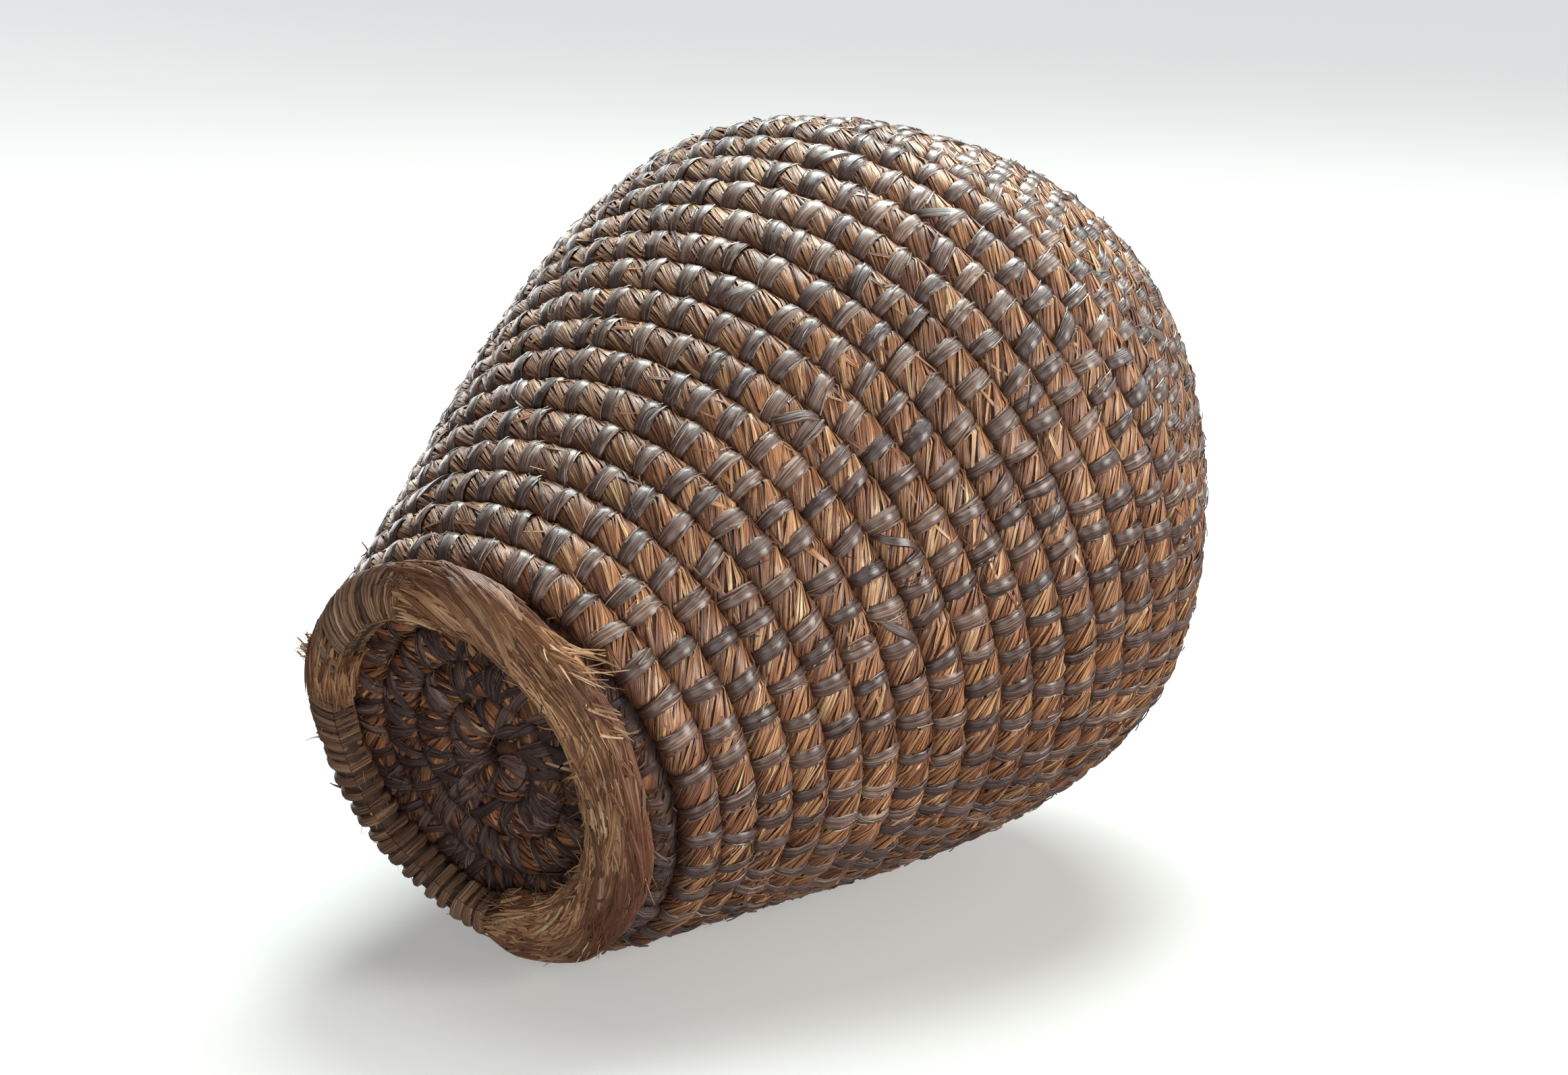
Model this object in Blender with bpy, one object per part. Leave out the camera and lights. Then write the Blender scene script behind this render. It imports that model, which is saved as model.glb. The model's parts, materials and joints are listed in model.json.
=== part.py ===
"""A coiled straw basket, egg-shaped, that stands on a bound foot ring.

A bundle of straw winds out flat to make the base. A second run of it climbs in a helix as the
wall, each turn lying on the one below, and thins to a tail on the rim. A thicker bundle, bent
into a ring and wrapped with split strip over part of its round, is the foot.
"""
import math

import bmesh
import bpy
from mathutils import Vector
from mathutils.geometry import interpolate_bezier

# Driving dimensions, in metres

# The straw bundle that makes the rows of the base and the wall
ROW_PITCH = 0.0147
ROW_WIDTH = 0.0142
ROW_THICKNESS = 0.0130

# The outline of the wall, over the outside of its rows
FOOT_RADIUS = 0.0799
BELLY_RADIUS = 0.1385
BELLY_HEIGHT = 0.235
MOUTH_RADIUS = 0.0743
MOUTH_HEIGHT = 0.3388
FOOT_FLARE_ANGLE = math.radians(17.2)
MOUTH_LEAN_ANGLE = math.radians(65.7)
FOOT_TO_BELLY_CURVE_SHARES = (0.468, 0.293)
BELLY_TO_MOUTH_CURVE_SHARES = (0.273, 0.089)

# How far inside the wall's first row the base's last row ends
BASE_TUCK = 0.003

# The foot ring. The middle of its bundle runs this far inside the wall's foot on average, but the
# ring sits off the basket's middle, and is pulled longer that way. It is thinnest under its fine
# binding and thickens towards the end of the broad one.
RING_INSET = 0.0159
RING_OFFSET = 0.0052
RING_STRETCH = 0.0022
RING_FINE_WIDTH = 0.0142
RING_BROAD_WIDTH = 0.022
RING_BARE_WIDTH = 0.024
RING_HEIGHT = 0.015
STRIP_THICKNESS = 0.0009
STRIP_GAP = 0.0005

# Gap between pieces that rest on each other, and between the cut ends of the wall's runs
SEAT_GAP = 0.0003

# Counts and turns
STEPS_PER_TURN = 24
BASE_FIRST_TURN = 0.55
TAIL_TURNS = 0.5
TAIL_SHARE = 0.3
RING_STEPS = 60
STEPS_PER_WRAP = 8
FINE_WRAPS = 21
BROAD_WRAPS = 6
WRAP_COVER_SHARE = 0.9
CURVE_POINT_COUNT = 120
MILLIMETRE_COUNT = 1000

# Where each run of the wall ends, as a share of the turns of the whole climb; the rim has the rest
LOWER_WALL_END_SHARE = 0.34
BELLY_WALL_END_SHARE = 0.66
SHOULDER_WALL_END_SHARE = 0.93

# Where things lie round the basket, seen from above
COIL_START_ANGLE = math.radians(90)
FINE_BINDING_ANGLES = (math.radians(46), math.radians(151))
BROAD_BINDING_ANGLES = (math.radians(158.5), math.radians(210.5))
BINDING_EASE_ANGLE = math.radians(8)
RING_OFFSET_ANGLE = math.radians(205)


def material(name, colour, roughness):
    """A plain finish for one sub-part."""
    made = bpy.data.materials.new(name)
    made.use_nodes = True
    shader = made.node_tree.nodes["Principled BSDF"]
    shader.inputs["Base Color"].default_value = (*colour, 1.0)
    shader.inputs["Roughness"].default_value = roughness
    shader.inputs["Metallic"].default_value = 0.0
    return made


def skin(name, sections, finish, ring=False):
    """Skins the closed cross-sections of a bundle, in order, into one closed body."""
    shape = bmesh.new()
    loops = [[shape.verts.new(point) for point in section] for section in sections]
    sides = len(loops[0])
    pairs = list(zip(loops, loops[1:]))
    if ring:
        pairs.append((loops[-1], loops[0]))
    for near, far in pairs:
        for i in range(sides):
            j = (i + 1) % sides
            shape.faces.new((near[i], near[j], far[j], far[i]))
    if not ring:
        shape.faces.new(loops[0])
        shape.faces.new(loops[-1])
    bmesh.ops.recalc_face_normals(shape, faces=shape.faces)
    mesh = bpy.data.meshes.new(name)
    shape.to_mesh(mesh)
    shape.free()
    mesh.materials.append(finish)
    made = bpy.data.objects.new(name, mesh)
    bpy.context.scene.collection.objects.link(made)
    return made


def print_gap(name, gaps):
    """Says how near a wound form comes to itself."""
    print(f"{name}: least gap to itself {min(gaps) * MILLIMETRE_COUNT:.2f} mm")


class Meridian:
    """A line in the half-plane through the basket's axis, walked by its length."""

    def __init__(self, points):
        self.points = points
        self.lengths = [0.0]
        for here, there in zip(points, points[1:]):
            self.lengths.append(self.lengths[-1] + (there - here).length)

    @property
    def length(self):
        return self.lengths[-1]

    def at(self, along):
        """Returns the point and the direction there, as (radius, height) pairs."""
        low = 0
        high = len(self.points) - 2
        while low < high:
            middle = (low + high + 1) // 2
            if self.lengths[middle] <= along:
                low = middle
            else:
                high = middle - 1
        here = self.points[low]
        direction = (self.points[low + 1] - here).normalized()
        return here + direction * (along - self.lengths[low]), direction

    def inset(self, distance):
        """The same line, moved to its inner side."""
        moved = []
        last = len(self.points) - 1
        for i, point in enumerate(self.points):
            run = (self.points[min(i + 1, last)] - self.points[max(i - 1, 0)]).normalized()
            moved.append(point - Vector((run.y, -run.x)) * distance)
        return Meridian(moved)


def wall_outline():
    """The wall's outer line: it flares from the foot, rounds at the belly and leans in to the mouth."""
    flare = Vector((math.sin(FOOT_FLARE_ANGLE), math.cos(FOOT_FLARE_ANGLE)))
    lean = Vector((-math.sin(MOUTH_LEAN_ANGLE), math.cos(MOUTH_LEAN_ANGLE)))
    up = Vector((0, 1))
    first_row = RING_HEIGHT + SEAT_GAP + ROW_WIDTH / 2 * flare.y
    foot = Vector((FOOT_RADIUS, first_row - ROW_THICKNESS / 2 * flare.x))
    belly = Vector((BELLY_RADIUS, BELLY_HEIGHT))
    mouth = Vector((MOUTH_RADIUS, MOUTH_HEIGHT))
    foot_pull, belly_pull_down = (share * (belly.y - foot.y) for share in FOOT_TO_BELLY_CURVE_SHARES)
    belly_pull_up, mouth_pull = (share * (mouth.y - belly.y) for share in BELLY_TO_MOUTH_CURVE_SHARES)
    low_knots = (foot, foot + flare * foot_pull, belly - up * belly_pull_down, belly)
    top_knots = (belly, belly + up * belly_pull_up, mouth - lean * mouth_pull, mouth)
    low_run = interpolate_bezier(*low_knots, CURVE_POINT_COUNT)
    top_run = interpolate_bezier(*top_knots, CURVE_POINT_COUNT)
    return Meridian(low_run + top_run[1:])


def row_section(point, direction, angle, size=1.0):
    """Five corners of the bundle: two face its neighbours, two bulge out and one points in."""
    outward = Vector((direction.y, -direction.x))
    half = ROW_WIDTH / 2 * size
    bulge = ROW_THICKNESS / 2 * size
    corners = ((half, 0), (half / 2, bulge), (-half / 2, bulge), (-half, 0), (0, -bulge))
    section = []
    for across, out in corners:
        place = point + direction * across + outward * out
        section.append(Vector((place.x * math.cos(angle), place.x * math.sin(angle), place.y)))
    return section


def coil_angle(turns):
    """Seen from above the rows run anticlockwise, outwards and then up."""
    return COIL_START_ANGLE + turns * 2 * math.pi


def end_trim(radius):
    """Turns taken off each end of a run, so that cut ends lie a seat gap apart."""
    return SEAT_GAP / 2 / (2 * math.pi * radius)


def row_gaps(sections):
    """Measures from each row's upper corner to the lower corner of the row beyond it."""
    pairs = zip(sections, sections[STEPS_PER_TURN:])
    return [(beyond[3] - here[0]).length for here, beyond in pairs]


def make_base(first_row_radius):
    """The flat spiral that closes the bottom, ending beside the start of the wall."""
    end_radius = first_row_radius - BASE_TUCK
    height = RING_HEIGHT + SEAT_GAP + ROW_THICKNESS / 2
    steps = round((end_radius / ROW_PITCH - BASE_FIRST_TURN) * STEPS_PER_TURN)
    sections = []
    for step in range(steps + 1):
        turns_left = max((steps - step) / STEPS_PER_TURN, end_trim(end_radius))
        point = Vector((end_radius - turns_left * ROW_PITCH, height))
        sections.append(row_section(point, Vector((1, 0)), coil_angle(-turns_left)))
    print_gap("base_coil", row_gaps(sections))
    skin("base_coil", sections, material("base_straw", (0.20, 0.085, 0.035), 0.8))


def wall_section(line, turns, all_turns):
    """One cross-section of the wall's bundle, which thins and sinks along its tail."""
    into_tail = max(0, turns - (all_turns - TAIL_TURNS)) / TAIL_TURNS
    size = 1 - (1 - TAIL_SHARE) * into_tail
    along = turns * ROW_PITCH - (1 - size) * ROW_WIDTH / 2
    point, direction = line.at(along)
    return row_section(point, direction, coil_angle(turns), size)


def make_wall(line):
    """The helical wall, as three runs and the rim, cut from one climb."""
    straw = {
        "lower_wall_coil": material("lower_wall_straw", (0.40, 0.145, 0.042), 0.62),
        "belly_wall_coil": material("belly_wall_straw", (0.434, 0.156, 0.045), 0.62),
        "shoulder_wall_coil": material("shoulder_wall_straw", (0.42, 0.16, 0.05), 0.62),
        "rim_coil": material("rim_straw", (0.40, 0.165, 0.055), 0.65),
    }
    steps = math.floor(line.length / ROW_PITCH * STEPS_PER_TURN)
    all_turns = steps / STEPS_PER_TURN
    whole = [wall_section(line, step / STEPS_PER_TURN, all_turns) for step in range(steps + 1)]
    print_gap("wall coil", row_gaps(whole))
    runs = (
        ("lower_wall_coil", round(LOWER_WALL_END_SHARE * all_turns) * STEPS_PER_TURN),
        ("belly_wall_coil", round(BELLY_WALL_END_SHARE * all_turns) * STEPS_PER_TURN),
        ("shoulder_wall_coil", round(SHOULDER_WALL_END_SHARE * all_turns) * STEPS_PER_TURN),
        ("rim_coil", steps),
    )
    start = 0
    for name, end in runs:
        sections = whole[start:end + 1]
        turns = start / STEPS_PER_TURN
        trimmed = turns + end_trim(line.at(turns * ROW_PITCH)[0].x)
        sections[0] = wall_section(line, trimmed, all_turns)
        if end < steps:
            turns = end / STEPS_PER_TURN
            trimmed = turns - end_trim(line.at(turns * ROW_PITCH)[0].x)
            sections[-1] = wall_section(line, trimmed, all_turns)
        print_gap(name, row_gaps(sections))
        skin(name, sections, straw[name])
        start = end


def ring_radius(angle):
    """How far the middle of the ring's bundle lies from the basket's axis."""
    turned = angle - RING_OFFSET_ANGLE
    offset = RING_OFFSET * math.cos(turned) + RING_STRETCH * math.cos(2 * turned)
    return FOOT_RADIUS - RING_INSET + offset


def ring_corner(angle, around, half_width, half_height):
    """A corner of the foot ring's eight-sided section, whose flats lie at the given half sizes."""
    reach = 1 / math.cos(math.pi / STEPS_PER_WRAP)
    radius = ring_radius(angle) + half_width * reach * math.cos(around)
    height = RING_HEIGHT / 2 + half_height * reach * math.sin(around)
    return Vector((radius * math.cos(angle), radius * math.sin(angle), height))


def wrap_direction(step):
    """Directions round the section, with a flat side below."""
    return (step + 1 / 2) / STEPS_PER_WRAP * 2 * math.pi


def bound_share(angle):
    """One where the ring is bound, none where it is bare, easing just past the binding's ends."""
    start = FINE_BINDING_ANGLES[0]
    end = BROAD_BINDING_ANGLES[1]
    middle = (start + end) / 2
    past_end = abs((angle - middle + math.pi) % (2 * math.pi) - math.pi) - (end - start) / 2
    return min(1, max(0, 1 - (past_end - BINDING_EASE_ANGLE / 2) / BINDING_EASE_ANGLE))


def bound_half_width(angle):
    """Half the ring's width over its binding, which grows from the middle of the fine binding on."""
    start = sum(FINE_BINDING_ANGLES) / 2
    grown = min(1, max(0, (angle - start) / (BROAD_BINDING_ANGLES[1] - start)))
    return (RING_FINE_WIDTH + (RING_BROAD_WIDTH - RING_FINE_WIDTH) * grown) / 2


def make_ring_bundle():
    """The foot's straw, drawn in under its binding and swollen where the binding has worn away."""
    inset = STRIP_THICKNESS + STRIP_GAP
    sections = []
    for step in range(RING_STEPS):
        angle = step / RING_STEPS * 2 * math.pi
        bound = bound_share(angle)
        half_width = RING_BARE_WIDTH / 2 * (1 - bound) + (bound_half_width(angle) - inset) * bound
        half_height = RING_HEIGHT / 2 - inset * bound
        around = [wrap_direction(i) for i in range(STEPS_PER_WRAP)]
        sections.append([ring_corner(angle, way, half_width, half_height) for way in around])
    skin("foot_ring_bundle", sections, material("ring_straw", (0.402, 0.223, 0.091), 0.7), ring=True)


def make_binding(name, arc, wraps, finish):
    """A split strip wound round the foot ring's bundle over one arc of it."""
    start, end = arc
    per_wrap = (end - start) / wraps
    half_strip = per_wrap * WRAP_COVER_SHARE / 2
    half_height = RING_HEIGHT / 2 - STRIP_THICKNESS
    sections = []
    for step in range((wraps - 1) * STEPS_PER_WRAP + 1):
        angle = start + half_strip + per_wrap * step / STEPS_PER_WRAP
        section = []
        for side, out in ((-1, 0), (1, 0), (1, STRIP_THICKNESS), (-1, STRIP_THICKNESS)):
            edge = angle + side * half_strip
            half_width = bound_half_width(edge) - STRIP_THICKNESS
            section.append(ring_corner(edge, wrap_direction(step), half_width + out, half_height + out))
        sections.append(section)
    pairs = zip(sections, sections[STEPS_PER_WRAP:])
    print_gap(name, [(beyond[0] - here[1]).length for here, beyond in pairs])
    skin(name, sections, finish)


def make_basket():
    for item in list(bpy.data.objects):
        bpy.data.objects.remove(item, do_unlink=True)
    line = wall_outline().inset(ROW_THICKNESS / 2)
    make_base(line.at(0)[0].x)
    make_wall(line)
    make_ring_bundle()
    broad_strip = material("broad_strip", (0.305, 0.171, 0.080), 0.55)
    make_binding("foot_ring_broad_binding", BROAD_BINDING_ANGLES, BROAD_WRAPS, broad_strip)
    fine_strip = material("fine_strip", (0.33, 0.18, 0.085), 0.6)
    make_binding("foot_ring_fine_binding", FINE_BINDING_ANGLES, FINE_WRAPS, fine_strip)


make_basket()
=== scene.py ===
import json
import math

import bpy
import numpy as np
from mathutils import Matrix, Vector

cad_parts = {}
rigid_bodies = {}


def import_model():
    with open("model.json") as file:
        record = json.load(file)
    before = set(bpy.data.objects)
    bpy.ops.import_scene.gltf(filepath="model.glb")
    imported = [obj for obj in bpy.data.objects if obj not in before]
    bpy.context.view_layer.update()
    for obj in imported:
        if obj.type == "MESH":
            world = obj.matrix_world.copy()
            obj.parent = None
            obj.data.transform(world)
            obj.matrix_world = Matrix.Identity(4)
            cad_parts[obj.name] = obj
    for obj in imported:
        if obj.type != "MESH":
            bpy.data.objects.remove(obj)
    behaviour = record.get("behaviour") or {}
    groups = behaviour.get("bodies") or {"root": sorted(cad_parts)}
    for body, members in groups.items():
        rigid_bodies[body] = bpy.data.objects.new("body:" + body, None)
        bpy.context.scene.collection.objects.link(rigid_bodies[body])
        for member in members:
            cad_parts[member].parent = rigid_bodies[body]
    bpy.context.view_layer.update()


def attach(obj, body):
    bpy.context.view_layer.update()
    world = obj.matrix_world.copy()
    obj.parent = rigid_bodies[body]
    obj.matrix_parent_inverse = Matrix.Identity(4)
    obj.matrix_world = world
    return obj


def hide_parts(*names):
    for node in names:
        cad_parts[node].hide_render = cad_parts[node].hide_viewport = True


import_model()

# The coil is a bundle of dry straw as thick as a thumb. It winds out flat from the middle of the
# base, turns up at the edge and climbs as the wall in one long helix, each row sewn to the last.
row_pitch = 0.0147
row_half_width = row_pitch / 2
row_half_thickness = 0.0065
row_roundness = 0.87
straw_bed = 0.0006
start_angle = math.radians(90)
base_height = 0.0218
base_end_radius = 0.0707
least_radius = 0.0005
flare = math.radians(17.2)
lean = math.radians(65.7)
first_row = Vector((0.0799, 0.0203))
belly = Vector((0.1385, 0.235))
mouth = Vector((0.0743, 0.3388))
foot_reach = 0.1005
belly_reach_down = 0.0629
belly_reach_up = 0.0283
mouth_reach = 0.0092
outline_steps = 300
wall_steps_per_turn = 24
turn_up = 0.4
base_start_turn = -4.78
thin_start_turns = 0.6
thin_start = 0.4
tail_turns = 0.5
thin_tail = 0.3


def outline_points():
    """The wall's outer line, from the foot round the belly to the mouth."""
    up = Vector((0, 1))
    foot_way = Vector((math.sin(flare), math.cos(flare)))
    mouth_way = Vector((-math.sin(lean), math.cos(lean)))
    knots = (
        (first_row, first_row + foot_way * foot_reach, belly - up * belly_reach_down, belly),
        (belly, belly + up * belly_reach_up, mouth - mouth_way * mouth_reach, mouth),
    )
    share = np.linspace(0, 1, outline_steps)[:, None]
    runs = []
    for a, b, c, d in knots:
        runs.append(
            (1 - share) ** 3 * np.array(a)
            + 3 * (1 - share) ** 2 * share * np.array(b)
            + 3 * (1 - share) * share ** 2 * np.array(c)
            + share ** 3 * np.array(d)
        )
    return np.concatenate([runs[0], runs[1][1:]])


outline = outline_points()
outline_run = np.gradient(outline, axis=0)
outline_run /= np.linalg.norm(outline_run, axis=1)[:, None]
outward = np.stack([outline_run[:, 1], -outline_run[:, 0]], axis=1)
centre_line = outline - outward * row_half_thickness
centre_steps = np.linalg.norm(np.diff(centre_line, axis=0), axis=1)
centre_lengths = np.concatenate([[0], np.cumsum(centre_steps)])
centre_angles = np.unwrap(np.arctan2(outline_run[:, 1], outline_run[:, 0]))
wall_turns = math.floor(centre_lengths[-1] / row_pitch * wall_steps_per_turn) / wall_steps_per_turn


def smooth(x):
    """Rises gently from 0 to 1."""
    x = np.clip(x, 0, 1)
    return x * x * (3 - 2 * x)


def row_size(turns):
    """How full the bundle is: it starts thin at the middle of the base and ends in a tail on the rim."""
    start = thin_start + (1 - thin_start) * smooth((turns - base_start_turn) / thin_start_turns)
    tail = 1 - (1 - thin_tail) * np.clip((turns - wall_turns + tail_turns) / tail_turns, 0, 1)
    return start * tail


def coil_at(turns):
    """The bundle's centre (radius, height) and the angle at which the rows follow each other there."""
    turns = np.asarray(turns, float)
    along = turns * row_pitch - (1 - row_size(turns)) * row_half_width * (turns > 0)
    wall_radius = np.interp(along, centre_lengths, centre_line[:, 0])
    wall_height = np.interp(along, centre_lengths, centre_line[:, 1])
    before = np.minimum(along, 0)
    wall_radius = wall_radius + before * math.sin(flare)
    wall_height = wall_height + before * math.cos(flare)
    wall_angle = np.interp(along, centre_lengths, centre_angles)
    base_radius = base_end_radius + turns * row_pitch
    up = smooth((turns + turn_up) / (2 * turn_up))
    radius = base_radius * (1 - up) + wall_radius * up
    height = base_height * (1 - up) + wall_height * up
    return np.maximum(radius, least_radius), height, wall_angle * up


def on_row(turns, around, lift):
    """A point on the bundle: around is 0 on its outer crest and a quarter turn in the groove towards
    the next row, and lift is the height over the bare bundle."""
    turns = np.asarray(turns, float)
    radius, height, angle = coil_at(turns)
    size = row_size(turns)
    sine = np.sin(around)
    cosine = np.cos(around)
    across = (row_half_width * size + lift) * np.sign(sine) * np.abs(sine) ** row_roundness
    out = ((row_half_thickness - straw_bed) * size + lift) * np.sign(cosine) * np.abs(cosine) ** row_roundness
    place_radius = radius + across * np.cos(angle) + out * np.sin(angle)
    place_height = height + across * np.sin(angle) - out * np.cos(angle)
    turn_angle = start_angle + 2 * math.pi * turns
    return np.stack([
        place_radius * np.cos(turn_angle),
        place_radius * np.sin(turn_angle),
        place_height + 0 * turn_angle,
    ], axis=-1)


def mesh_piece(name, points, faces, material, uv, tone, painted_shade, sharp=60, copies=1):
    """Makes a piece of one or more copies of a stem, from all their points and one copy's faces. Its
    material reads a map with the length along and the width across, a tone for each copy and how
    much painted shade each point gets."""
    points = np.asarray(points, np.float32).reshape(-1, 3)
    sizes = np.array([len(face) for face in faces])
    corners = np.concatenate([np.asarray(face) for face in faces])
    copy_size = len(points) // copies
    corners = (corners[None] + np.arange(copies)[:, None] * copy_size).ravel().astype(np.int32)
    starts = np.concatenate([[0], np.cumsum(np.tile(sizes, copies))[:-1]]).astype(np.int32)
    mesh = bpy.data.meshes.new(name)
    mesh.vertices.add(len(points))
    mesh.vertices.foreach_set("co", points.ravel())
    mesh.loops.add(len(corners))
    mesh.loops.foreach_set("vertex_index", corners)
    mesh.polygons.add(len(starts))
    mesh.polygons.foreach_set("loop_start", starts)
    mesh.update(calc_edges=True)
    mesh.validate()
    layer = mesh.uv_layers.new(name="along")
    corner = np.empty(len(mesh.loops), np.int32)
    mesh.loops.foreach_get("vertex_index", corner)
    layer.data.foreach_set("uv", np.asarray(uv, np.float32).reshape(-1, 2)[corner].ravel())
    tones = np.repeat(np.broadcast_to(tone, copies), copy_size)
    # The second mark is painted shade: how far each point is darkened for the groove, crease or edge it lies
    # in.
    for label, values in (("tone", tones), ("painted_shade", np.ravel(painted_shade))):
        attribute = mesh.attributes.new(label, "FLOAT", "POINT")
        attribute.data.foreach_set("value", np.broadcast_to(values, len(points)).astype(np.float32))
    made = bpy.data.objects.new(name, mesh)
    bpy.context.scene.collection.objects.link(made)
    mesh.materials.append(material)
    bpy.ops.object.select_all(action="DESELECT")
    made.select_set(True)
    bpy.context.view_layer.objects.active = made
    bpy.ops.object.shade_smooth_by_angle(angle=math.radians(sharp))
    return made


def dressed(piece, slot, *nodes):
    """Says what the piece rides on and which solids it stands in for. The slot, what it is made of, is not
    used.
    """
    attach(piece, "root")
    if nodes:
        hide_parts(*nodes)


core_steps_per_turn = 72
core_sides = 12
core_depth = 0.0002
core_map_radius = 0.007


def core_piece(name, start, end, material):
    """The deeper straw of the bundle, seen only between the outer stems, where it is drawn dark as painted
    shade.
    """
    steps = max(2, round((end - start) * core_steps_per_turn))
    turns = np.linspace(start, end, steps + 1)
    around = np.arange(core_sides) / core_sides * 2 * math.pi
    turn_grid, around_grid = np.meshgrid(turns, around, indexing="ij")
    points = on_row(turn_grid, around_grid, -core_depth)
    faces = []
    for step in range(steps):
        for side in range(core_sides):
            near, after = step * core_sides + side, step * core_sides + (side + 1) % core_sides
            faces.append((near, after, after + core_sides, near + core_sides))
    faces.append(tuple(range(core_sides - 1, -1, -1)))
    faces.append(tuple(range(steps * core_sides, (steps + 1) * core_sides)))
    length = turn_grid * 2 * math.pi * coil_at(turn_grid)[0]
    uv = np.stack([length, around_grid * core_map_radius], axis=-1)
    # The whole core also gets a share of painted shade.
    return mesh_piece(name, points, faces, material, uv, tone=0.3, painted_shade=0.35)


# Straw and split strip are plant fibre. Long streaks of unlike colour and height run along each
# piece and follow the piece's own map, with its length along it and its width across. Dirt lies
# over them in clouds and specks that follow the basket.
tone_offset = 7.31
streak_low, streak_high = 0.34, 0.66
patch_low, patch_high = 0.42, 0.68
speck_low, speck_high, speck_share = 0.68, 0.74, 0.5
# How strongly the painted shade of each point darkens it towards the dark colour.
shade_share = 0.85
broad_share = 0.6
noise_roughness = 0.6
dust_colour = (0.45, 0.36, 0.25, 1.0)
fibre_relief = 0.0003
coat_roughness = 0.3


def new_group(name, inputs, outputs):
    """An empty shader group with its sockets, its entry and its exit."""
    group = bpy.data.node_groups.new(name, "ShaderNodeTree")
    for label, value in inputs:
        socket = group.interface.new_socket(label, in_out="INPUT", socket_type="NodeSocketFloat")
        socket.default_value = value
    for label in outputs:
        group.interface.new_socket(label, in_out="OUTPUT", socket_type="NodeSocketFloat")
    return group, group.nodes.new("NodeGroupInput"), group.nodes.new("NodeGroupOutput")


def node(tree, kind, operation=None, **values):
    """Adds a node; a value goes to the input with that index or name."""
    made = tree.nodes.new(kind)
    if operation:
        made.operation = operation
    for key, value in values.items():
        numbered = key[0] == "i" and key[1:].isdigit()
        socket = made.inputs[int(key[1:]) if numbered else key.replace("_", " ")]
        if isinstance(value, (int, float, tuple)):
            socket.default_value = value
        else:
            tree.links.new(value, socket)
    return made


def maths(tree, operation, *values):
    """Reckons with sockets and numbers, and gives the socket of the result."""
    inputs = {f"i{place}": value for place, value in enumerate(values)}
    return node(tree, "ShaderNodeMath", operation, **inputs).outputs[0]


def covered(tree, colour, cover, share):
    """A colour under another one, which covers it as far as the share says."""
    mix = node(tree, "ShaderNodeMix")
    mix.data_type = "RGBA"
    mix.inputs["B"].default_value = cover
    tree.links.new(share, mix.inputs["Factor"])
    tree.links.new(colour, mix.inputs["A"])
    return mix.outputs["Result"]


def fibre_group():
    """Fine and broad streaks along the fibres, and the tone and the painted shade that the piece carries."""
    group, entry, leave = new_group(
        "plant_fibre", (("Streaks", 900.0), ("Stretch", 0.06)), ("Fine", "Broad", "Tone", "PaintedShade"))
    uv = node(group, "ShaderNodeUVMap")
    uv.uv_map = "along"
    marks = {}
    for label in ("tone", "painted_shade"):
        marks[label] = node(group, "ShaderNodeAttribute")
        marks[label].attribute_name = label
    split = node(group, "ShaderNodeSeparateXYZ", i0=uv.outputs["UV"])
    stretched = maths(group, "MULTIPLY", split.outputs["X"], entry.outputs["Stretch"])
    shift = maths(group, "MULTIPLY", marks["tone"].outputs["Fac"], tone_offset)
    join = node(group, "ShaderNodeCombineXYZ", X=stretched, Y=split.outputs["Y"], Z=shift)
    for label, factor, detail in (("Fine", 1.0, 3.0), ("Broad", 0.35, 2.0)):
        scale = maths(group, "MULTIPLY", entry.outputs["Streaks"], factor)
        noise = node(group, "ShaderNodeTexNoise", Vector=join.outputs[0], Scale=scale, Detail=detail,
                     Roughness=noise_roughness)
        spread = node(group, "ShaderNodeMapRange", From_Min=streak_low, From_Max=streak_high,
                      Value=noise.outputs["Fac"])
        group.links.new(spread.outputs["Result"], leave.inputs[label])
    group.links.new(marks["tone"].outputs["Fac"], leave.inputs["Tone"])
    group.links.new(marks["painted_shade"].outputs["Fac"], leave.inputs["PaintedShade"])
    return group


def grime_group():
    """Cloudy grime and small specks in the basket's own space."""
    group, entry, leave = new_group("grime", (("Scale", 22.0),), ("Cloud", "Speck"))
    place = node(group, "ShaderNodeTexCoord")
    for label, factor in (("Cloud", 1.0), ("Speck", 30.0)):
        scale = maths(group, "MULTIPLY", entry.outputs["Scale"], factor)
        noise = node(group, "ShaderNodeTexNoise", Vector=place.outputs["Object"], Scale=scale, Detail=4.0,
                     Roughness=noise_roughness)
        group.links.new(noise.outputs["Fac"], leave.inputs[label])
    return group


plant_fibre = fibre_group()
grime = grime_group()


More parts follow.
